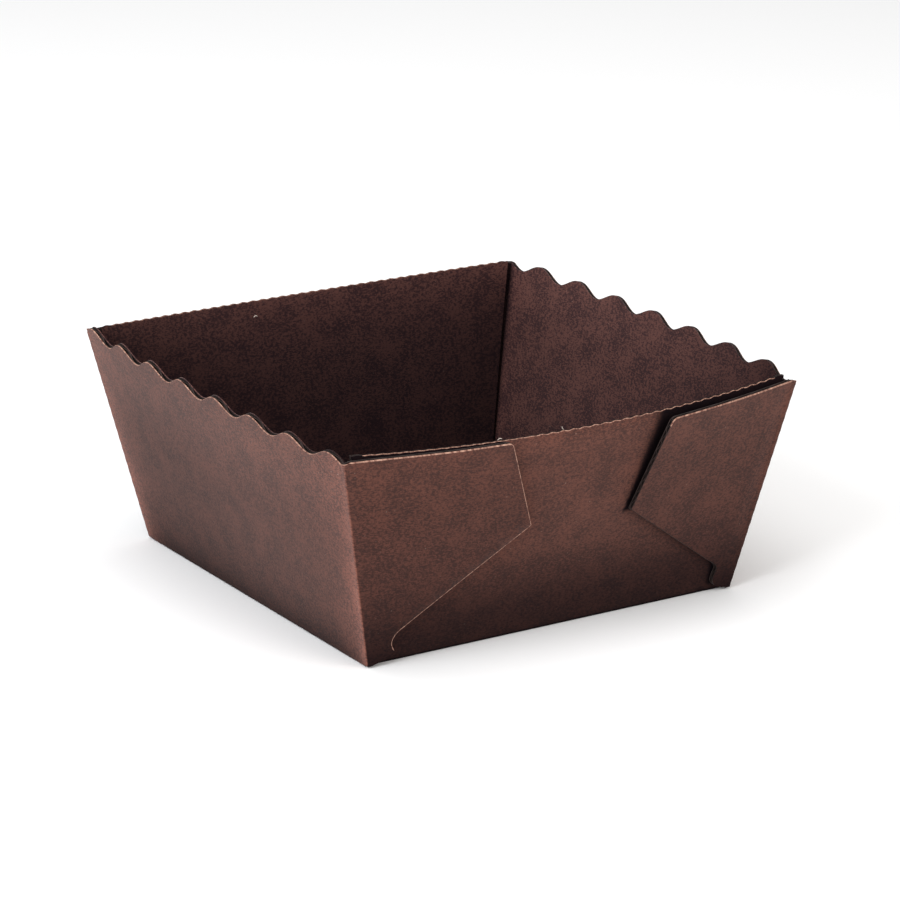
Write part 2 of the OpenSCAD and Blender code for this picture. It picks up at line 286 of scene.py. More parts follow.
    def rim_point(self, way, x, depth):
        w = 1 - (self.front_dip if way < 0 else self.back_dip) * (1 - (x / self.rim_half) ** 2) / self.tray_h
        return Vector((
            x,
            way * (self.flap_y(x, w) - self.wall_set - depth * math.cos(self.end_lean)),
            w * self.tray_h + depth * math.sin(self.end_lean),
        ))

    def wall_length(self):
        return self.tray_h / math.cos(self.end_lean) - self.fold_r * math.tan((math.pi / 2 - self.end_lean) / 2)

    def end_point(self, x, q, depth):
        """Place of a point of the end board, depth into it from its outer face."""
        way, along = (-1 if q < 0 else 1), abs(q)
        # The cut crushes the rim: the outer facing is pressed towards the inner one.
        from_rim = self.end_fold + self.end_fold_arc + self.wall_length() - along
        crush = CRUSH * math.exp(-from_rim / CRUSH_REACH)
        depth += crush * (self.board_t - depth)
        if along <= self.end_fold:
            return Vector((x, q, depth))
        along -= self.end_fold
        full = math.pi / 2 - self.end_lean
        if along <= self.end_fold_arc:
            return self.foot_point(way, x, depth, full * along / self.end_fold_arc)
        share = (along - self.end_fold_arc) / self.wall_length()
        return self.foot_point(way, x, depth, full).lerp(self.rim_point(way, x, depth), share)


def along_line(points, step):
    """The points of a line through the given ones, about step apart, without its last point."""
    made = []
    for a, b in zip(points, points[1:]):
        a, b = Vector(a), Vector(b)
        count = max(1, round((b - a).length / step))
        made += [tuple(a.lerp(b, i / count)) for i in range(count)]
    return made


def curved(points, turns=4):
    """A smooth line through the given points."""
    made = []
    for i in range(len(points) - 1):
        p = [Vector(points[max(0, min(len(points) - 1, i + k))]) for k in (-1, 0, 1, 2)]
        for t in [step / turns for step in range(turns)]:
            b = (2 * p[0] - 5 * p[1] + 4 * p[2] - p[3]) * t * t
            c = (3 * p[1] - p[0] - 3 * p[2] + p[3]) * t**3
            made.append(tuple((2 * p[1] + (p[2] - p[0]) * t + b + c) / 2))
    return made + [tuple(points[-1])]


def rounded(a, b, c, radius, steps=5):
    """Points of a rounded corner at b, between a and c."""
    a, b, c = Vector(a), Vector(b), Vector(c)
    u, v = (a - b).normalized(), (c - b).normalized()
    half = u.angle(v) / 2
    middle = b + (u + v).normalized() * radius / math.sin(half)
    start, end = b + u * radius / math.tan(half) - middle, b + v * radius / math.tan(half) - middle
    return [tuple(middle + start.lerp(end, i / steps).normalized() * radius) for i in range(steps + 1)]


def spread(low, high, step):
    """Evenly spaced numbers from low to high, about step apart."""
    count = max(1, round((high - low) / step))
    return [low + (high - low) * i / count for i in range(count + 1)]


def cut_sheet(outline, inner, clear=0.3):
    """Triangles of a flat sheet inside its outline, also through the inner points that lie clear of its edge."""
    edge = [Vector(p) for p in outline]
    count = len(edge)
    cells = set()
    for x, y in along_line([*outline, outline[0]], clear / 2):
        cells.update((round(x / clear) + i, round(y / clear) + j) for i in (-1, 0, 1) for j in (-1, 0, 1))
    crossings = {}
    for y in sorted({p[1] for p in inner}):
        pairs = [(edge[i], edge[(i + 1) % count]) for i in range(count)]
        crossings[y] = [a.x + (y - a.y) * (b.x - a.x) / (b.y - a.y) for a, b in pairs if (a.y > y) != (b.y > y)]
    kept = [
        Vector((x, y))
        for x, y in inner
        if sum(c > x for c in crossings[y]) % 2 and (round(x / clear), round(y / clear)) not in cells
    ]
    edges = [(i, (i + 1) % count) for i in range(count)]
    made = delaunay_2d_cdt(edge + kept, edges, [list(range(count))], 1, ROUNDING)
    return [tuple(p) for p in made[0]], [tuple(f) for f in made[2]]


def near_line(flat, triangles, line, reach):
    """Those triangles whose middle lies within about reach of a line."""
    cells = set()
    for x, y in line:
        cells.update((round(x / reach) + i, round(y / reach) + j) for i in (-1, 0, 1) for j in (-1, 0, 1))
    middles = [[sum(flat[i][k] for i in f) / 3 for k in (0, 1)] for f in triangles]
    return [f for f, m in zip(triangles, middles) if (round(m[0] / reach), round(m[1] / reach)) in cells]


class Layers:
    """Gathers thin sheets of board into one mesh."""

    def __init__(self):
        self.points, self.faces, self.finishes = [], [], []
        self.maps = {"sheet": [], "flutes": [], "painted_shade": []}

    def add(self, flat, triangles, near, far, finishes, maps, lip=lambda a, b: 0):
        """Adds a thin sheet. near and far place a flat point on its two faces, maps gives its place on each map,
        finishes are those of the near face, the far face and the cut edge at a flat point, and lip tells how far
        the near face is pressed back there along a pale cut edge."""
        start, count = len(self.points), len(flat)
        sides = {(a, b) for f in triangles for a, b in zip(f, f[1:] + f[:1])}
        border = [side for side in sorted(sides) if side[::-1] not in sides]
        pressed = [Vector(p) for p in flat]
        for face in triangles:
            self.faces += [[start + i for i in face], [start + count + i for i in reversed(face)]]
            self.finishes += finishes[:2]
        for a, b in border:
            along = Vector(flat[b]) - Vector(flat[a])
            finish = finishes[2](*(Vector(flat[a]) + along / 2))
            if finish == CUT:
                inward = Vector((-along.y, along.x)).normalized() * lip(*(Vector(flat[a]) + along / 2)) / 2
                pressed[a], pressed[b] = pressed[a] + inward, pressed[b] + inward
            self.faces.append([start + b, start + a, start + count + a, start + count + b])
            self.finishes.append(finish)
        self.points += [near(*p) for p in pressed] + [far(*p) for p in flat]
        for name, place in maps.items():
            self.maps[name] += [place(*p) for p in flat] * 2

    def mesh(self, name, materials):
        """The gathered sheets as a smooth-shaded mesh in metres."""
        made = bpy.data.meshes.new(name)
        made.from_pydata([p * MM for p in self.points], [], self.faces)
        for material in materials:
            made.materials.append(material)
        made.polygons.foreach_set("material_index", self.finishes)
        corners = [0] * len(made.loops)
        made.loops.foreach_get("vertex_index", corners)
        for title, places in self.maps.items():
            layer = made.uv_layers.new(name=title)
            layer.data.foreach_set("uv", [c for v in corners for c in places[v]])
        shape = bmesh.new()
        shape.from_mesh(made)
        bmesh.ops.recalc_face_normals(shape, faces=shape.faces)
        for edge in shape.edges:
            edge.smooth = len(edge.link_faces) == 2 and edge.calc_face_angle(0) < SMOOTH_UNDER
        for face in shape.faces:
            face.smooth = True
        shape.to_mesh(made)
        shape.free()
        made.update()
        return made


# Cut edges of the flaps, from the base corner to the crease's top, as distances from the middle of the wall and
# heights. The front right one stands off the wall and is cut a little shorter.
FLAPS = {
    "even": {
        "notch": [
            (41.5, 0.4), (40.2, 0.8), (38.4, 1.35), (37.1, 2.1), (36.75, 2.75),
            (37.15, 3.5), (37.45, 4.4), (37.25, 5.5), (36.5, 6.6), (35.3, 7.45),
        ],
        "tip": (9.7, 24.6), "upper": (17.0, 43.5),
        "top": [(28.5, 43.7), (35.0, 43.95), (41.0, 44.2), (47.0, 44.4)], "crease": 44.45,
    },
    "gaping": {
        "notch": [
            (41.5, 0.5), (39.9, 0.8), (38.5, 1.4), (37.65, 2.3), (37.5, 3.3),
            (37.75, 4.3), (38.05, 5.2), (37.7, 6.1), (36.8, 6.9), (35.6, 7.7),
        ],
        "tip": (13.0, 23.9), "upper": (18.8, 42.8),
        "top": [(31.0, 43.2), (43.7, 43.75), (47.0, 43.95)], "crease": 44.1,
    },
}
CORNER_R, TIP_R = 1.4, 0.35


def flap_edge(flap):
    """A flap's cut edge, as distances from the middle of the wall and heights."""
    lower, tip, upper = curved(flap["notch"]), flap["tip"], flap["upper"]
    return [
        *lower, *rounded(lower[-1], tip, upper, TIP_R), *rounded(tip, upper, flap["top"][0], CORNER_R),
        *flap["top"],
    ]


def scallop_z(board, y, crest):
    """Height of a side wall's scalloped rim."""
    turn = 2 * math.pi * (y - crest) / board.scallop_pitch
    return board.tray_h + board.crest_rise - board.scallop_depth / 2 * (1 - math.cos(turn))


def fade(value, none, full):
    """Smooth step from 0 at none to 1 at full, which may lie on either side of it."""
    t = max(0.0, min(1.0, (value - none) / (full - none)))
    return t * t * (3 - 2 * t)


# The painted shade functions give 0 where the board has its own colour and 1 where it has the deep shade colour: they
# paint shade into the colour, at the feet, along the base folds, in the gaps round the flaps, below the rims and
# across the inside. Their numbers are strengths between the two and places in millimetres, set so that the tray
# matches the photo.


def side_dye(board, p, v):
    """How much shade is painted on the outside of a side board: at its foot, less beside its rim and creases, more
    towards its back end, and some all over the flaps.
    """
    z = max(v, 0.0)
    if abs(p) > board.wall_half + board.crease_arc / 2:
        foot = 0.85 * math.exp(-((z / 13.5) ** 1.6))
        below_rim = 0.13 * fade(z, 44, 30)
        return 1 - (1 - foot) * (0.84 - below_rim)
    near = math.exp(-(board.wall_half + board.crease_arc / 2 - abs(p)) / 4)
    foot = 0.75 * math.exp(-z / 7) * (1 - 0.6 * near)
    wall = 0.22 * fade(z, 42, 24) + 0.12 * fade(p, -20, 25)
    return 1 - (1 - foot) * (1 - wall * (1 - near))


def side_inner_dye(board, p, v):
    """How much shade is painted on the inside of a side board: deep on the flaps, and on the wall towards its creases,
    at its foot and more lower down from its rim.
    """
    if abs(p) > board.wall_half:
        return 0.9
    back, front = math.exp(-(board.wall_half - p) / 14), math.exp(-(board.wall_half + p) / 30)
    foot = 0.42 * math.exp(-v / 14)
    below_rim = 0.25 * fade(v, 45, 30)
    return 1 - (1 - foot) * (1 - below_rim) * (1 - 0.4 * back) * (1 - 0.9 * front)


def painted_gap_shadow(x, z):
    """Painted shadow on the front wall behind the flaps' tops, and beside the open edges of the one that stands off.
    """
    if x < 0:
        return fade(-x, FLAPS["even"]["upper"][0] + 0.3, FLAPS["even"]["upper"][0] + 1.3) * fade(z, 38, 40)
    tip, upper = FLAPS["gaping"]["tip"], FLAPS["gaping"]["upper"]
    if z > tip[1] - 1:
        edge = tip[0] + (z - tip[1]) * (upper[0] - tip[0]) / (upper[1] - tip[1])
        width = 0.25 + 1.5 * fade(z, tip[1] - 1, upper[1])
        return 1.0 if x > edge else math.exp(-(((edge - x) / width) ** 2))
    notch_x = 37.6
    notch = 1 if x > notch_x else math.exp(-(((notch_x - x) / 0.7) ** 2))
    return notch * fade(z, 1.0, 2.2) * fade(z, 8.5, 7)


def end_dye(board, x, q):
    """How much shade is painted on the outside of the end board: at its foot, as a dark line along its base folds, in
    the gaps round the front flaps, and more lower down from its rims.
    """
    z = board.end_point(x, q, 0).z
    foot = 0.76 * math.exp(-((z / 16) ** 3)) * fade(abs(q), board.end_fold - 4, board.end_fold)
    # A painted contact shadow: a dark line along the bottom of the base folds.
    line = 0.85 * fade(z, 0.9, 0.3) * fade(abs(q), board.end_fold - 1, board.end_fold)
    deep_shade = 0.95 * painted_gap_shadow(x, z) if q < 0 else 0
    below_rim = 0.15 * fade(z, 44, 36)
    return 1 - (1 - foot) * (1 - line) * (1 - deep_shade) * (1 - below_rim)


def end_inner_dye(board, x, q):
    """How much shade is painted on the inside of the end board: much of it all over, least at its rims, and more
    towards the left.
    """
    z = board.end_point(x, q, board.board_t).z
    pale = 0.18 + 0.45 * math.exp(-(board.tray_h - z) / 7)
    left = 0.25 * fade(x, -15, -45)
    return 1 - pale * (1 - left)


def side_outline(board, crest, front, back):
    """The side board's outline on its flat sheet, round from the front end of its fold. Also gives its cut part."""
    wall, crease, toe = board.wall_half, board.wall_half + board.crease_arc, 0.4
    low = board.side_fold_z - board.side_fold_arc
    ends = [[(way * board.flap_p(x, z), z) for x, z in flap_edge(f)] for way, f in ((-1, front), (1, back))]
    rim = [(y, scallop_z(board, y, crest)) for y in reversed(spread(-wall, wall, 0.5))]
    cut = [
        (crease, toe), *ends[1], (crease, back["crease"]), *rim,
        (-crease, front["crease"]), *reversed(ends[0]), (-crease, toe),
    ]
    fold = [(-wall, toe), (-wall, low), (wall, low), (wall, toe)]
    return along_line([*cut, *fold, cut[0]], 0.35), along_line(cut, 0.35)


def side_board(layers, board, crest, gape, front, back, left, offset):
    """A side wall, its two creases and its two flaps."""
    outline, cut = side_outline(board, crest, front, back)
    wall, crease = board.wall_half, board.wall_half + board.crease_arc
    far_end = crease + board.half_x(1) - board.crease_r
    rows = spread(board.side_fold_z, board.tray_h + 0.5, 2.2)[1:]
    fold_rows = spread(board.side_fold_z - board.side_fold_arc, board.side_fold_z, 0.4)[1:]
    columns = [*spread(-far_end, -crease - 2, 2.2), *spread(-wall + 2, wall - 2, 2.4)]
    columns += spread(crease + 2, far_end, 2.2)
    bends = [way * p for way in (-1, 1) for p in spread(wall, crease, 0.2)]
    inner = [(p, v) for v in rows for p in columns]
    # The fold's rows need points as close together as the cut edge below them.
    inner += [(p, v) for v in fold_rows for p in spread(-wall + 0.4, wall - 0.4, 0.7)]
    inner += [(p, v) for v in spread(0.6, board.tray_h, 0.6) for p in bends]
    flat, triangles = cut_sheet(outline, inner, 0.2)

    def place(p, v, depth):
        bulge = board.crease_bulge(p, v) if depth < board.board_t / 2 else 0
        point = board.side_point(p, v, depth - bulge, gape)
        return Vector((-point.x, point.y, point.z)) if left else point

    def closeness(p, v):
        """How near a point of the wall is to a crease, where the colour is made lighter, most of all at its foot."""
        return math.exp(-(wall - abs(p)) / 6) * (1 + 0.9 * fade(v, 30, 8)) if abs(p) < (wall + crease) / 2 else 0

    maps = {
        "sheet": lambda p, v: (p + offset, v),
        "flutes": lambda p, v: (board.side_flute(p, v) / math.cos(board.side_lean), closeness(p, v)),
        "painted_shade": lambda p, v: (side_dye(board, p, v), 0),
    }
    inside = {**maps, "painted_shade": lambda p, v: (side_inner_dye(board, p, v), 0)}
    skin, back_skin = board.liner_t, board.board_t - board.liner_t
    gaping = front is FLAPS["gaping"]

    def outer_edge(p, v):
        """Edges of the outer facing: given the hollows' dark finish as painted shade at the flaps' feet and round the
        flap that stands off, and pale elsewhere.
        """
        if v < 2.7 or (gaping and -crease - 1 > p and v < 41):
            return HOLLOW
        return CUT

    layers.add(
        flat, triangles, lambda p, v: place(p, v, 0), lambda p, v: place(p, v, skin), [OUTSIDE, HOLLOW, outer_edge],
        maps, lambda p, v: board.lip * (1 if abs(p) > crease else 0.25),
    )
    # Along a flap the inner facing's cut edge gets the hollows' dark finish as painted shade, but on the scallops it
    # shows its own colour.
    layers.add(
        flat, triangles, lambda p, v: place(p, v, board.board_t), lambda p, v: place(p, v, back_skin),
        [INSIDE, HOLLOW, lambda p, v: INSIDE if v > 0.3 and abs(p) < wall else HOLLOW], inside,
    )

    # The wavy sheet is cut on a map squeezed along its flutes, so that its triangles run with them.
    def wave(p, v):
        return board.wave_depth(board.side_flute(p, v) / math.cos(board.side_lean))

    squeezed = [(p / SQUEEZE, board.side_flute(p, v)) for p, v in outline]
    levels = [y for _, y in squeezed]
    step = board.flute_pitch * math.cos(board.side_lean) / 8
    flute_columns = [*spread(-far_end, -crease - 1, 6), *spread(-crease, -wall, 1.2), *spread(-wall + 4, wall - 4, 7)]
    flute_columns += [*spread(wall, crease, 1.2), *spread(crease + 1, far_end, 6)]
    inner = [(p / SQUEEZE, f) for f in spread(min(levels), max(levels), step) for p in flute_columns]
    flat, triangles = cut_sheet(squeezed, inner, 0.14)
    flat = [(x * SQUEEZE, y + board.side_climb(x * SQUEEZE)) for x, y in flat]
    triangles = near_line(flat, triangles, cut, BAND)
    half = board.medium_t / 2
    layers.add(
        flat, triangles, lambda p, v: place(p, v, wave(p, v) - half), lambda p, v: place(p, v, wave(p, v) + half),
        [HOLLOW, HOLLOW, lambda p, v: HOLLOW], maps,
    )


def end_board(layers, board):
    """The front wall, the base and the back wall."""
    full = board.end_fold + board.end_fold_arc + board.wall_length()
    foot = board.end_fold + board.end_fold_arc
    base_half = board.half_x(0) - board.fold_r / math.tan((math.pi / 2 + board.side_lean) / 2)
    turn = 2 * math.pi / board.flute_pitch

    def wavy(x, way):
        strength = 1 if x > -10 or way > 0 else 0.4
        return (x, way * (full + strength * RIM_WAVE * math.cos(turn * x)))

    rim_x = spread(-board.rim_end, board.rim_end, 0.3)
    front_rim = [wavy(x, -1) for x in rim_x]
    back_rim = [wavy(x, 1) for x in reversed(rim_x)]
    right = [(board.foot_half, -foot), (board.foot_half, -board.end_fold), (base_half, -board.end_fold + 0.4)]
    right += [(x, -q) for x, q in reversed(right)]
    outline = along_line([*front_rim, *right, *back_rim, *[(-x, -q) for x, q in right], front_rim[0]], 0.35)
    cut = along_line([right[0], (board.rim_end, -full), (-board.rim_end, -full), (-board.foot_half, -foot)], 0.35)
    cut += [(x, -q) for x, q in cut]
    rows = [way * q for way in (-1, 1) for q in [
        *spread(3, board.end_fold, 6), *spread(board.end_fold, foot, 0.4)[1:], *spread(foot, full, 3)[1:],
    ]]
    inner = [(x, q) for q in sorted(rows) for x in spread(-board.rim_end, board.rim_end, 2.5)]
    inner += [(x, way * (full - d)) for way in (-1, 1) for d in (0.45, 1.0, 1.8) for x in rim_x]
    fold_ends = spread(board.foot_half - 3.5, board.foot_half - 0.4, 0.6)
    fold_rows = spread(board.end_fold, foot, 0.4)
    inner += [(way * x, turn_way * q) for way in (-1, 1) for turn_way in (-1, 1) for q in fold_rows for x in fold_ends]
    # The painted shadow beside the flap that stands off needs closer points.
    inner += [(x, -foot - d) for d in spread(20, full - foot - 2.2, 0.9) for x in spread(9, 22, 0.55)]
    inner += [(x, -foot - d) for d in spread(0.5, 8, 0.55) for x in spread(34.5, board.foot_half - 0.5, 0.55)]
    flat, triangles = cut_sheet(outline, inner, 0.24)

    def place(x, q, depth):
        ripple = board.washboard * math.cos(turn * x) * math.exp(-(full - abs(q)) / 1.5)
        way = -1 if depth < board.board_t / 2 else 1
        return board.end_point(x, q, depth + way * ripple * (abs(q) > foot))

    maps = {
        "sheet": lambda x, q: (x + END_STRETCH, q),
        "flutes": lambda x, q: (x, 0),
        "painted_shade": lambda x, q: (end_dye(board, x, q), 0),
    }
    inside = {**maps, "painted_shade": lambda x, q: (end_inner_dye(board, x, q), 0)}
    skin, back_skin = board.liner_t, board.board_t - board.liner_t

    def edge(x, q):
        return CUT if abs(q) > full - 1 and abs(x) < board.rim_end - 2.5 else HOLLOW

    def lip(x, q):
        return board.lip * 0.4

    layers.add(
        flat, triangles, lambda x, q: place(x, q, 0), lambda x, q: place(x, q, skin), [OUTSIDE, HOLLOW, edge], maps,
        lip,
    )
    layers.add(
        flat, triangles, lambda x, q: place(x, q, board.board_t), lambda x, q: place(x, q, back_skin),
        [INSIDE, HOLLOW, edge], inside, lip,
    )
    squeezed = [(x, q / SQUEEZE) for x, q in outline]
    flute_rows = [way * q / SQUEEZE for way in (-1, 1) for q in [*spread(foot, full - 5, 5), full - 1.5]]
    inner = [(x, q) for q in flute_rows for x in spread(-board.rim_end, board.rim_end, board.flute_pitch / 8)]
    flat, triangles = cut_sheet(squeezed, inner, 0.14)
    flat = [(x, q * SQUEEZE) for x, q in flat]
    triangles = near_line(flat, triangles, cut, BAND)
    half = board.medium_t / 2
    layers.add(
        flat, triangles, lambda x, q: board.end_point(x, q, board.wave_depth(x) - half),
        lambda x, q: board.end_point(x, q, board.wave_depth(x) + half), [HOLLOW, HOLLOW, lambda x, q: HOLLOW], maps,
    )


def add_node(tree, kind, settings=None, **links):
    """Adds a node, gives it settings and input values, and links what comes from other nodes."""
    made = tree.nodes.new(kind)
    for name, value in (settings or {}).items():
        setattr(made, name, value)
    for name, value in links.items():
        slot = made.inputs[int(name[1:])] if name[1:].isdigit() else made.inputs[name.replace("_", " ")]
        if isinstance(value, bpy.types.NodeSocket):
            tree.links.new(value, slot)
        else:
            slot.default_value = value
    return made


def calc(tree, operation, *values):
    """The result of a maths node that works on numbers or on other nodes' results."""
    links = {f"i{k}": value for k, value in enumerate(values)}
    return add_node(tree, "ShaderNodeMath", {"operation": operation}, **links).outputs[0]


def blend(tree, share, first, second):
    """A colour between two others, each given as a colour or as a node's result."""
    return add_node(tree, "ShaderNodeMix", {"data_type": "RGBA"}, i0=share, i6=first, i7=second).outputs[2]


def new_material(name):
    """An empty node material with its shader and output."""
    made = bpy.data.materials.new(name)
    made.use_nodes = True
    tree = made.node_tree
    tree.nodes.clear()
    shader = tree.nodes.new("ShaderNodeBsdfPrincipled")
    out = tree.nodes.new("ShaderNodeOutputMaterial")
    tree.links.new(shader.outputs[0], out.inputs[0])
    return made, tree, shader


def rgba(value):
    return (*value, 1.0)


def kraft_facing(name, light, dark, fleck, deep_shade, softness, flute_pitch):
    """Dyed kraft linerboard, made on a wire and left uncoated.

    It gives the eye soft clouds of dye a few millimetres across, a finer grain of matted fibres, pale stray fibres, a
    fuzz that greys it where light grazes it, and no gloss. The painted shade map says where shade is painted into the
    colour, darkening it towards the deep shade colour, and a lower softness gives the clouds and the grain more
    contrast."""
    made, tree, shader = new_material(name)
    sheet = add_node(tree, "ShaderNodeUVMap", {"uv_map": "sheet"}).outputs[0]
    flutes = add_node(tree, "ShaderNodeUVMap", {"uv_map": "flutes"}).outputs[0]
    painted_shade = add_node(tree, "ShaderNodeUVMap", {"uv_map": "painted_shade"}).outputs[0]
    # The sheet map is in millimetres, so a noise's scale is one over the size of its marks.
    clouds = add_node(tree, "ShaderNodeTexNoise", Vector=sheet, Scale=1 / 6.0, Detail=4.0, Roughness=0.6)
    grain = add_node(tree, "ShaderNodeTexNoise", Vector=sheet, Scale=1 / 0.7, Detail=4.0, Roughness=0.75)
    # Matted fibres are about 1 mm long and 0.03 mm wide: drawn 0.25 mm wide, so that they show.
    bend = add_node(tree, "ShaderNodeTexNoise", Vector=sheet, Scale=1 / 2.5, Detail=1.0)
    stretch = add_node(tree, "ShaderNodeMapping", {"vector_type": "POINT"}, Vector=sheet, Scale=(1.5, 4.0, 1.0))
    lay = add_node(tree, "ShaderNodeVectorMath", {"operation": "MULTIPLY_ADD"}, i0=bend.outputs["Color"],
                   i1=(2.2, 2.2, 0.0), i2=stretch.outputs[0])
    fibres = add_node(tree, "ShaderNodeTexNoise", Vector=lay.outputs[0], Scale=1.0, Detail=3.0, Roughness=0.65)
    fine = calc(tree, "MULTIPLY", fibres.outputs[0], 0.6)
    both = calc(tree, "MULTIPLY_ADD", grain.outputs[0], 0.7, fine)
    mixed = calc(tree, "MULTIPLY_ADD", clouds.outputs[0], 0.35, both)
    # Each noise averages one half, so the three with their shares average half of 0.6 + 0.7 + 0.35.
    average = 0.825
    level = add_node(tree, "ShaderNodeMapRange", None, Value=mixed, i1=average - softness, i2=average + softness)
    tone = blend(tree, level.outputs[0], rgba(dark), rgba(light))
    specks = add_node(tree, "ShaderNodeTexNoise", Vector=sheet, Scale=1 / 0.55, Detail=2.0, Roughness=0.5)
    pale = add_node(tree, "ShaderNodeMapRange", None, Value=specks.outputs[0], i1=0.72, i2=0.79, i4=0.6)
    dotted = blend(tree, pale.outputs[0], tone, rgba(fleck))
    # The colour is made lighter beside the creases.
    parts = add_node(tree, "ShaderNodeSeparateXYZ", None, Vector=flutes)
    crease_lift = calc(tree, "MULTIPLY_ADD", parts.outputs[1], 0.5, 1.0)
    lightened = add_node(tree, "ShaderNodeVectorMath", {"operation": "SCALE"}, i0=dotted, Scale=crease_lift)
    # Painted shade: the colour is darkened towards the deep shade colour as far as the painted shade map says.
    depth = add_node(tree, "ShaderNodeSeparateXYZ", None, Vector=painted_shade)
    shaded_tone = blend(tree, depth.outputs[0], lightened.outputs[0], rgba(deep_shade))
    tree.links.new(shaded_tone, shader.inputs["Base Color"])
    # Where shade is painted, the fuzz and the shine fade out with it.
    fuzz = calc(tree, "MULTIPLY_ADD", depth.outputs[0], -0.16, 0.16)
    tree.links.new(fuzz, shader.inputs["Sheen Weight"])
    tree.links.new(fuzz, shader.inputs["Specular IOR Level"])
    # Flutes show through a facing as faint ribs, one for each flute.
    rib = calc(tree, "SINE", calc(tree, "MULTIPLY", parts.outputs[0], 2 * math.pi / flute_pitch))
    relief = calc(tree, "MULTIPLY_ADD", rib, 0.1, mixed)
    bump = add_node(tree, "ShaderNodeBump", None, Height=relief, Strength=0.35, Distance=0.0001)
    tree.links.new(bump.outputs[0], shader.inputs["Normal"])
    shader.inputs["Roughness"].default_value = 0.86
    shader.inputs["IOR"].default_value = 1.5
    shader.inputs["Sheen Roughness"].default_value = 0.5
    return made


def plain_kraft(name, light, dark, size, roughness=0.9):
    """Kraft paper seen in a cut edge or between the facings: torn, undyed fibre ends, uneven along the cut."""
    made, tree, shader = new_material(name)
    sheet = add_node(tree, "ShaderNodeUVMap", {"uv_map": "sheet"}).outputs[0]
    grain = add_node(tree, "ShaderNodeTexNoise", Vector=sheet, Scale=1 / size, Detail=3.0, Roughness=0.6)
    level = add_node(tree, "ShaderNodeMapRange", None, Value=grain.outputs[0], i1=0.35, i2=0.65)
    tree.links.new(blend(tree, level.outputs[0], rgba(dark), rgba(light)), shader.inputs["Base Color"])
    shader.inputs["Roughness"].default_value = roughness
    shader.inputs["IOR"].default_value = 1.5
    return made


def show(context, name, mesh):
    """Puts a mesh in the scene as an object that rides on the tray's one body."""
    made = bpy.data.objects.new(name, mesh)
    context.collection.objects.link(made)
    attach(made, "root")
    return made


class MOLD_OT_board(bpy.types.Operator):
    """Cuts, creases and folds the micro-flute board into the tray"""

    bl_idname = "mold.board"
    bl_label = "Folded board"

    def execute(self, context):
        scene = context.scene
        board, hues = Board(scene.mold_sizes, scene.mold_board), scene.mold_colours
        layers = Layers()
        end_board(layers, board)
        even, gaping = FLAPS["even"], FLAPS["gaping"]
        side_board(layers, board, board.right_crest, board.flap_gape, gaping, even, False, 0)
        side_board(layers, board, board.left_crest, 0, even, even, True, LEFT_STRETCH)
        shared = (hues.fleck, hues.deep_shade)
        pitch = board.flute_pitch
        materials = [
            kraft_facing("dyed_kraft_outer_facing", hues.outer_light, hues.outer_dark, *shared, 0.08, pitch),
            kraft_facing("dyed_kraft_inner_facing", hues.inner_light, hues.inner_dark, *shared, 0.045, pitch),
            plain_kraft("cut_kraft_edge", hues.cut_edge, hues.outer_light, 0.7),
            plain_kraft("kraft_wavy_sheet", hues.medium, tuple(c * 0.5 for c in hues.medium), 0.9),
        ]
        made = show(context, "folded_board", layers.mesh("folded_board", materials))
        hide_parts("mold")
        return {"FINISHED"}


# Loose fibres: the wall that each is on (-1 front, 1 back), and its points as places along the wall and distances
# below the rim
FIBRES = (
    (-1, [(-4.3, 0.15), (-4.7, -0.25), (-4.95, -0.7)]),
    (-1, [(-19.1, 0.15), (-18.6, -0.3), (-18.1, -0.15)]),
    (1, [(-12.4, 3.45), (-11.9, 3.2), (-11.5, 3.35)]),
)
# Radius of a fibre as drawn: real ones are 0.02 mm thick, too fine to show, so a few are drawn as one
FIBRE_R = 0.08
FIBRE_SIDES = 6


class MOLD_OT_fibres(bpy.types.Operator):
    """Adds the pale fibres torn loose along the cut rims"""

    bl_idname = "mold.fibres"
    bl_label = "Loose fibres"

    def execute(self, context):
        scene = context.scene
        board, hues = Board(scene.mold_sizes, scene.mold_board), scene.mold_colours
        full = board.end_fold + board.end_fold_arc + board.wall_length()
        mesh, shape = bpy.data.meshes.new("loose_fibres"), bmesh.new()
        for way, path in FIBRES:
            line = [board.end_point(x, way * (full - drop), board.board_t) for x, drop in curved(path)]
            rings = []
            for i, place in enumerate(line):
                along = (line[min(i + 1, len(line) - 1)] - line[max(i - 1, 0)]).normalized()
                side = along.cross(Vector((0, 1, 0))).normalized()
                rise = side.cross(along)
                turns = [2 * math.pi * k / FIBRE_SIDES for k in range(FIBRE_SIDES)]
                rings.append([
                    shape.verts.new((place + (side * math.cos(t) + rise * math.sin(t)) * FIBRE_R) * MM) for t in turns
                ])
            for low, high in zip(rings, rings[1:]):
                for k in range(FIBRE_SIDES):
                    after = (k + 1) % FIBRE_SIDES
                    shape.faces.new((low[k], low[after], high[after], high[k]))
            shape.faces.new(rings[0][::-1])
            shape.faces.new(rings[-1])
        bmesh.ops.recalc_face_normals(shape, faces=shape.faces)
        shape.to_mesh(mesh)
        shape.free()
        sheet = mesh.uv_layers.new(name="sheet")
        for loop in mesh.loops:
            place = mesh.vertices[loop.vertex_index].co / MM
            sheet.data[loop.index].uv = (place.x * 3, place.z * 3)
        mesh.materials.append(plain_kraft("loose_pulp_fibre", hues.loose_fibre, hues.fleck, 0.5))
        show(context, "loose_fibres", mesh)
        return {"FINISHED"}


# The camera's fit to the photograph: azimuth, elevation and roll in degrees, distance and the two offsets of its
# place in millimetres, and its lens in millimetres on a 36 mm sensor
CAMERA = {
    "azimuth": -32.48, "elevation": 18.058, "roll": 0.344, "away": 775.257, "right": 3.198, "up": 22.897,
    "lens": 152.37,
}


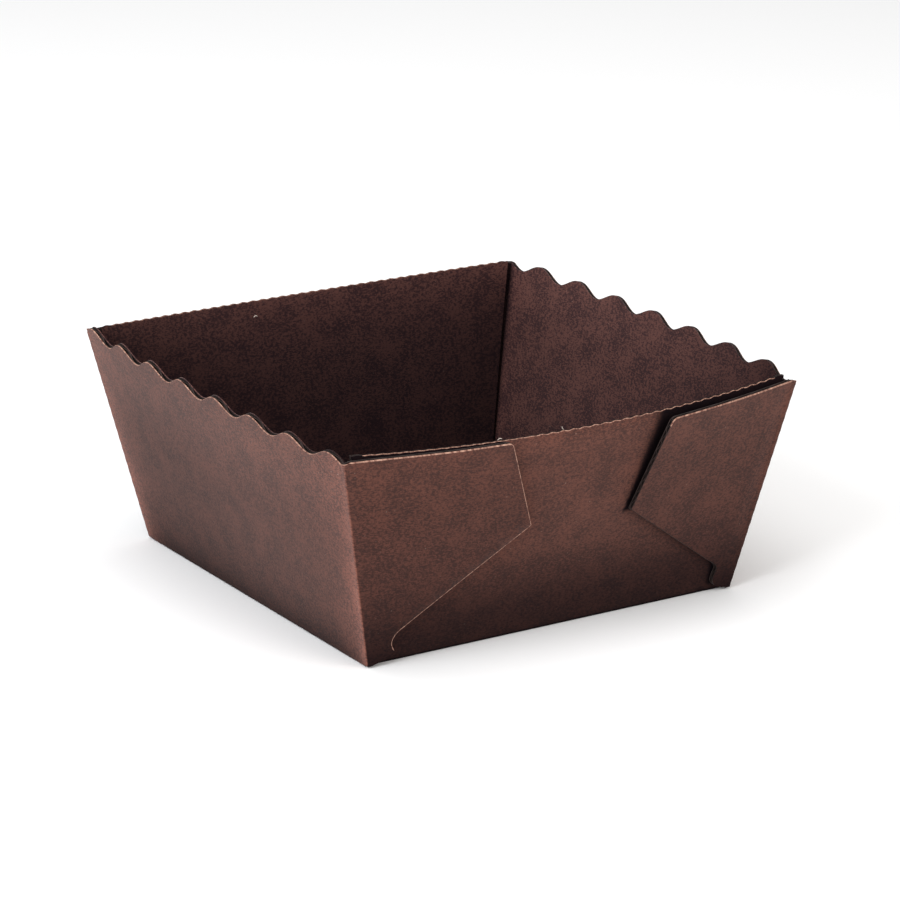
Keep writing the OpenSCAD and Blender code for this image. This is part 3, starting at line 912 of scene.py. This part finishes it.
class MOLD_OT_stage(bpy.types.Operator):
    """Sets the camera, the soft studio lights and the pale paper floor"""

    bl_idname = "mold.stage"
    bl_label = "Stage"

    def execute(self, context):
        scene = context.scene
        self.camera(scene)
        self.floor(context, scene.mold_colours)
        world = bpy.data.worlds.new("soft_room")
        world.use_nodes = True
        sky = world.node_tree.nodes["Background"]
        sky.inputs[0].default_value = rgba(linear("#ffffff"))
        sky.inputs[1].default_value = 0.6
        scene.world = world
        self.softbox(context, "left_softbox", (-0.8, -0.2, 0.5), 0.6, 7.0, "#f9fcff")
        self.softbox(context, "front_softbox", (0.3, -0.85, 0.4), 0.6, 3.8, "#fff9f3")
        self.softbox(context, "top_softbox", (-0.1, 0.1, 0.9), 0.9, 3.5, "#ffffff")
        scene.view_settings.view_transform = "Standard"
        return {"FINISHED"}

    def camera(self, scene):
        """Places the camera at the photograph's viewing angle."""
        turn, tilt, roll = (math.radians(CAMERA[k]) for k in ("azimuth", "elevation", "roll"))
        back = Vector((math.sin(turn) * math.cos(tilt), -math.cos(turn) * math.cos(tilt), math.sin(tilt)))
        right = Vector((math.cos(turn), math.sin(turn), 0))
        up = back.cross(right)
        right, up = right * math.cos(roll) + up * math.sin(roll), up * math.cos(roll) - right * math.sin(roll)
        lens = bpy.data.cameras.new("camera")
        lens.lens, lens.sensor_width, lens.clip_start, lens.clip_end = CAMERA["lens"], 36.0, 0.05, 20.0
        made = bpy.data.objects.new("camera", lens)
        scene.collection.objects.link(made)
        place = (back * CAMERA["away"] + right * CAMERA["right"] + up * CAMERA["up"]) * MM
        made.matrix_world = Matrix.Translation(place) @ Matrix((right, up, back)).transposed().to_4x4()
        scene.camera = made

    def floor(self, context, hues):
        """Lays a wide sheet of smooth pale paper."""
        made, tree, shader = new_material("smooth_paper_floor")
        where = add_node(tree, "ShaderNodeTexCoord").outputs["Object"]
        # Paper has a faint tooth, about 1 mm across.
        tooth = add_node(tree, "ShaderNodeTexNoise", Vector=where, Scale=1000.0, Detail=2.0)
        shade = tuple(c * 0.99 for c in hues.floor)
        tree.links.new(blend(tree, tooth.outputs[0], rgba(hues.floor), rgba(shade)), shader.inputs["Base Color"])
        shader.inputs["Roughness"].default_value = 0.95
        shader.inputs["Specular IOR Level"].default_value = 0.1
        mesh = bpy.data.meshes.new("floor")
        reach = 4.0
        corners = [(-reach, -reach, 0), (reach, -reach, 0), (reach, reach, 0), (-reach, reach, 0)]
        mesh.from_pydata(corners, [], [(0, 1, 2, 3)])
        mesh.materials.append(made)
        sheet = bpy.data.objects.new("floor", mesh)
        context.collection.objects.link(sheet)
        sheet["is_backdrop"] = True

    def softbox(self, context, name, place, size, power, tint):
        """Adds a square soft light that faces the tray, with its size in metres and its power in watts."""
        light = bpy.data.lights.new(name, "AREA")
        light.shape, light.size, light.energy, light.color = "SQUARE", size, power, linear(tint)
        made = bpy.data.objects.new(name, light)
        made.location = place
        made.rotation_mode = "QUATERNION"
        tray_middle = Vector((0, 0, 0.02))
        made.rotation_quaternion = (Vector(place) - tray_middle).to_track_quat("Z", "Y")
        context.collection.objects.link(made)


class MOLD_PT_panel(bpy.types.Panel):
    """Sizes, colours and steps of the baking mold"""

    bl_label = "Baking mold"
    bl_space_type = "VIEW_3D"
    bl_region_type = "UI"
    bl_category = "Mold"

    def draw(self, context):
        for group in (context.scene.mold_sizes, context.scene.mold_board, context.scene.mold_colours):
            for name in group.__annotations__:
                self.layout.prop(group, name)
        for step in STEPS:
            self.layout.operator(step.bl_idname)


STEPS = (MOLD_OT_board, MOLD_OT_fibres, MOLD_OT_stage)
CLASSES = (MoldSizes, BoardSizes, BoardColours, *STEPS, MOLD_PT_panel)


def register():
    for kind in CLASSES:
        bpy.utils.register_class(kind)
    bpy.types.Scene.mold_sizes = bpy.props.PointerProperty(type=MoldSizes)
    bpy.types.Scene.mold_board = bpy.props.PointerProperty(type=BoardSizes)
    bpy.types.Scene.mold_colours = bpy.props.PointerProperty(type=BoardColours)


def unregister():
    del bpy.types.Scene.mold_sizes, bpy.types.Scene.mold_board, bpy.types.Scene.mold_colours
    for kind in reversed(CLASSES):
        bpy.utils.unregister_class(kind)


def main():
    """Builds the mold and its stage."""
    register()
    bpy.ops.mold.board()
    bpy.ops.mold.fibres()
    bpy.ops.mold.stage()
    low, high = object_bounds()
    {"cad": [list(CAD_LOW), list(CAD_HIGH)], "visual": [list(low), list(high)]}


if __name__ == "__main__":
    main()
